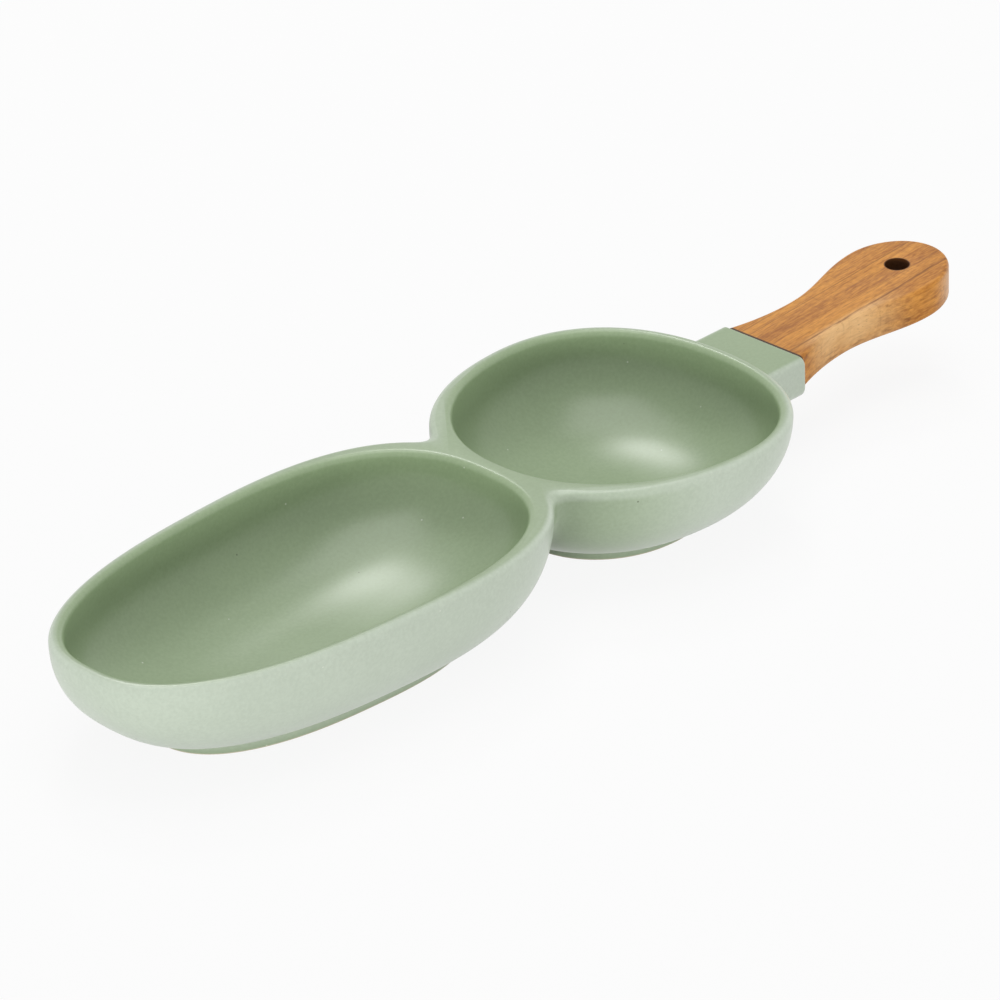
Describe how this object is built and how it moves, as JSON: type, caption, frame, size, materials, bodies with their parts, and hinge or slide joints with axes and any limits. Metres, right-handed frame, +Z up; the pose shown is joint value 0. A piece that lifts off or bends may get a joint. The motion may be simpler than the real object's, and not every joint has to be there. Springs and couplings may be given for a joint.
{
  "type": "olive dish",
  "caption": "Double olive dish of glazed stoneware: an oval and a round bowl joined at a neck, with a flat wooden handle glued into a socket and a hole to hang it by.",
  "frame": {"origin": "middle of the footprint, on the table plane that the feet stand on", "axes": "+X along the dish from the oval bowl's free end to the handle's tip, +Y across it, +Z up"},
  "size_m": [0.3962, 0.1108, 0.038],
  "materials": {
    "glazed_stoneware": "sage green satin glaze with fine specks, thinner and paler at the rims",
    "oiled_acacia": "oiled hardwood with straight grain along the handle",
    "hardened_glue": "hardened clear amber glue"
  },
  "bodies": {
    "root": {"dish_body": "glazed_stoneware", "handle": "oiled_acacia", "glue_line": "hardened_glue"}
  },
  "joints": []
}
